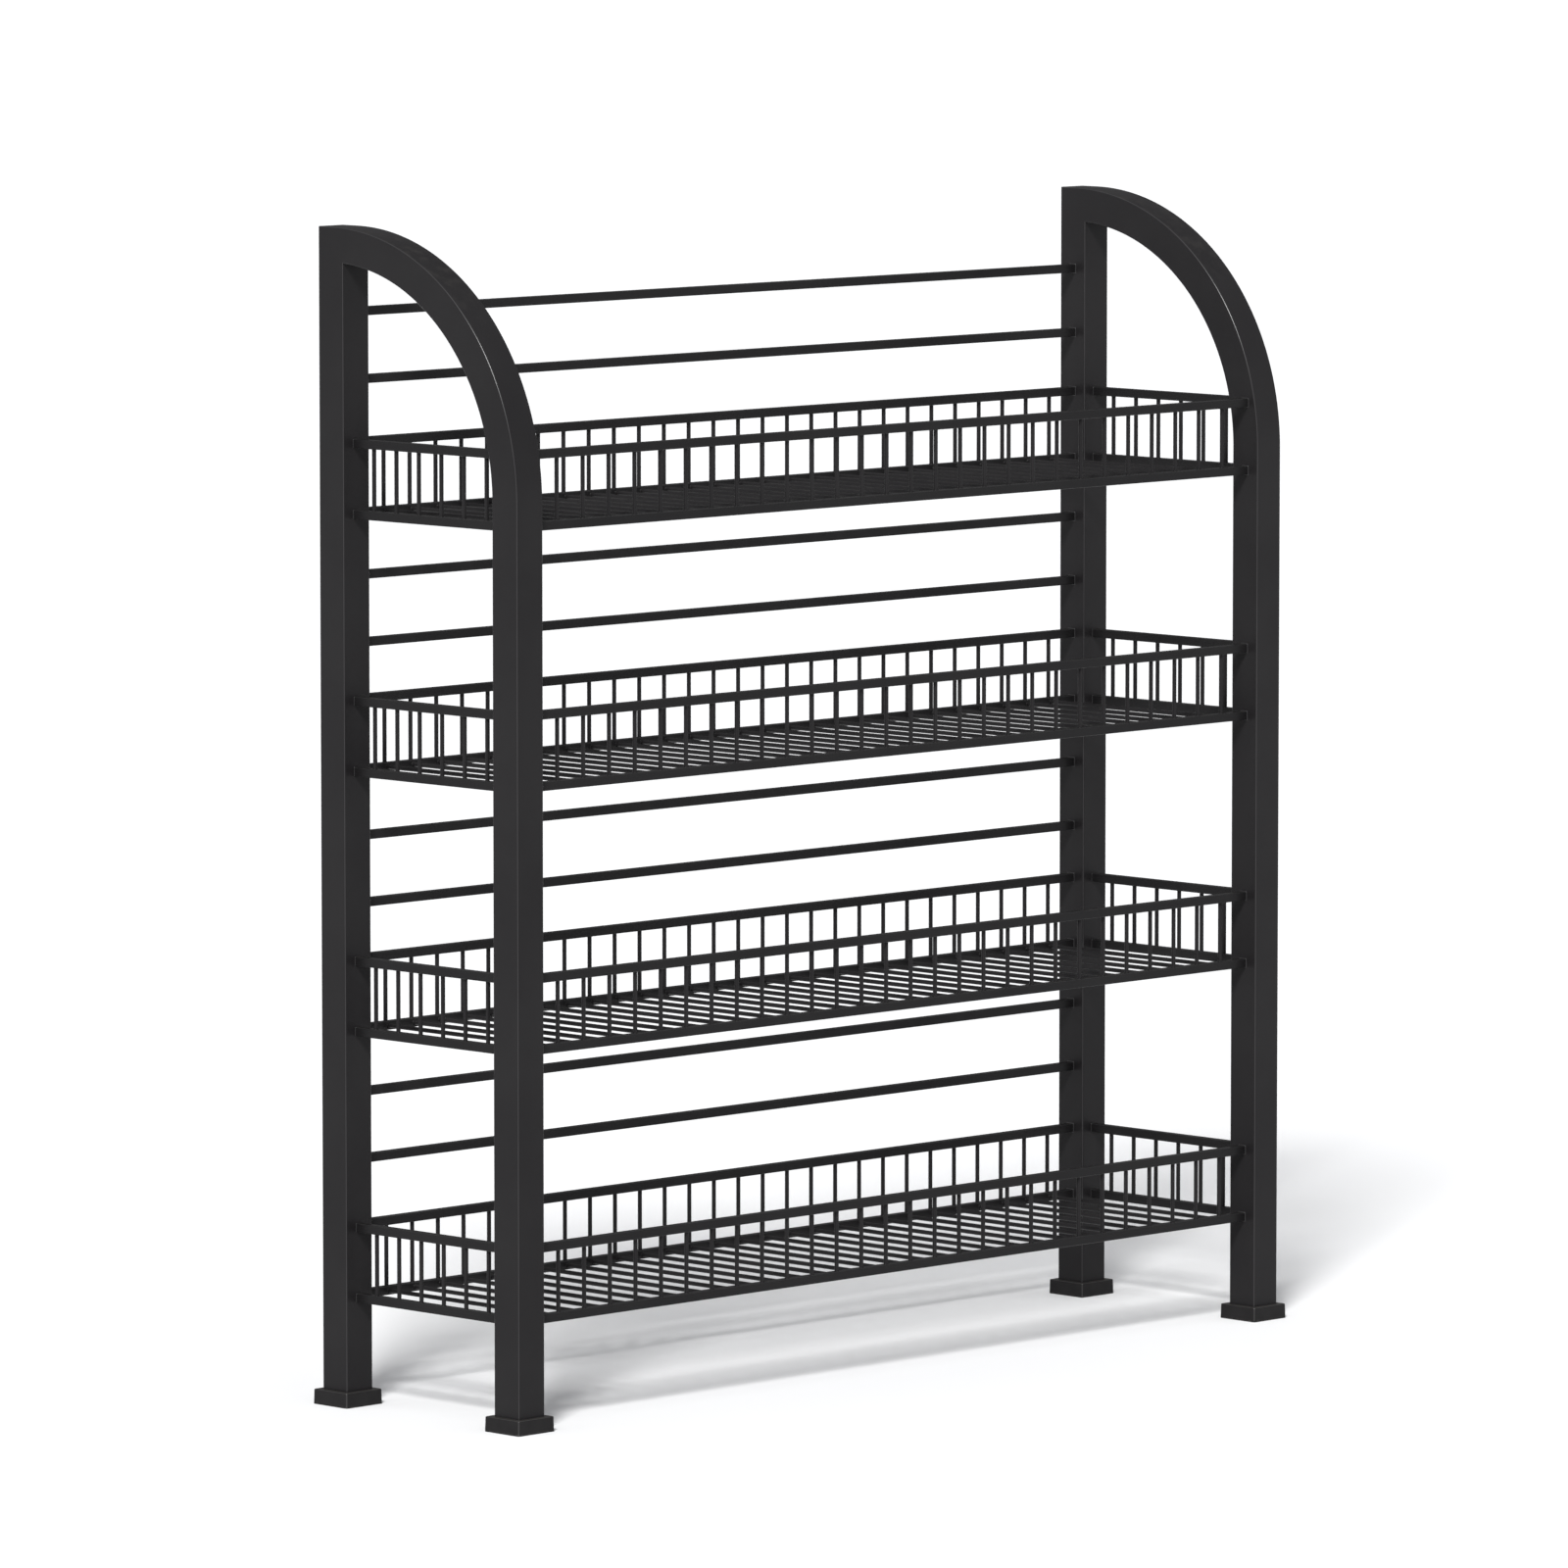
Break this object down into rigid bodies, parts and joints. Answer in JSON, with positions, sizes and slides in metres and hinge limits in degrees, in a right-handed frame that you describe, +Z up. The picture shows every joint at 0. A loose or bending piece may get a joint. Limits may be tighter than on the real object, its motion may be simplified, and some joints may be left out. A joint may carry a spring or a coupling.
{
  "type": "four-tier wire-basket display rack",
  "caption": "Free-standing steel display rack with tiered wire baskets and back rails between two arched square-tube side frames on square plastic feet, for bagged goods.",
  "frame": {"origin": "on the floor under the middle of the rack", "axes": "+X along the width, to the right of a person who faces the front; -Y is the open front; +Z is up"},
  "size_m": [1.256, 0.336, 1.328],
  "materials": {
    "powder_coated_steel": "satin near-black powder coat with a faint orange peel",
    "foot_plastic": "near-black moulded plastic with a fine eroded texture"
  },
  "bodies": {
    "root": {"left_rear_post": "powder_coated_steel", "left_arched_front_post": "powder_coated_steel", "foot_front_left": "foot_plastic", "foot_rear_left": "foot_plastic", "right_rear_post": "powder_coated_steel", "right_arched_front_post": "powder_coated_steel", "foot_front_right": "foot_plastic", "foot_rear_right": "foot_plastic", "tier_1_front_top_rail": "powder_coated_steel", "tier_1_front_bottom_rail": "powder_coated_steel", "tier_1_front_pickets": "powder_coated_steel", "tier_1_back_top_rail": "powder_coated_steel", "tier_1_back_bottom_rail": "powder_coated_steel", "tier_1_back_pickets": "powder_coated_steel", "tier_1_left_rails": "powder_coated_steel", "tier_1_left_pickets": "powder_coated_steel", "tier_1_right_rails": "powder_coated_steel", "tier_1_right_pickets": "powder_coated_steel", "tier_1_floor_wires": "powder_coated_steel", "tier_2_front_top_rail": "powder_coated_steel", "tier_2_front_bottom_rail": "powder_coated_steel", "tier_2_front_pickets": "powder_coated_steel", "tier_2_back_top_rail": "powder_coated_steel", "tier_2_back_bottom_rail": "powder_coated_steel", "tier_2_back_pickets": "powder_coated_steel", "tier_2_left_rails": "powder_coated_steel", "tier_2_left_pickets": "powder_coated_steel", "tier_2_right_rails": "powder_coated_steel", "tier_2_right_pickets": "powder_coated_steel", "tier_2_floor_wires": "powder_coated_steel", "tier_3_front_top_rail": "powder_coated_steel", "tier_3_front_bottom_rail": "powder_coated_steel", "tier_3_front_pickets": "powder_coated_steel", "tier_3_back_top_rail": "powder_coated_steel", "tier_3_back_bottom_rail": "powder_coated_steel", "tier_3_back_pickets": "powder_coated_steel", "tier_3_left_rails": "powder_coated_steel", "tier_3_left_pickets": "powder_coated_steel", "tier_3_right_rails": "powder_coated_steel", "tier_3_right_pickets": "powder_coated_steel", "tier_3_floor_wires": "powder_coated_steel", "tier_4_front_top_rail": "powder_coated_steel", "tier_4_front_bottom_rail": "powder_coated_steel", "tier_4_front_pickets": "powder_coated_steel", "tier_4_back_top_rail": "powder_coated_steel", "tier_4_back_bottom_rail": "powder_coated_steel", "tier_4_back_pickets": "powder_coated_steel", "tier_4_left_rails": "powder_coated_steel", "tier_4_left_pickets": "powder_coated_steel", "tier_4_right_rails": "powder_coated_steel", "tier_4_right_pickets": "powder_coated_steel", "tier_4_floor_wires": "powder_coated_steel", "back_rail_1": "powder_coated_steel", "back_rail_2": "powder_coated_steel", "back_rail_3": "powder_coated_steel", "back_rail_4": "powder_coated_steel", "back_rail_5": "powder_coated_steel", "back_rail_6": "powder_coated_steel", "back_rail_7": "powder_coated_steel", "back_rail_8": "powder_coated_steel"}
  },
  "joints": []
}
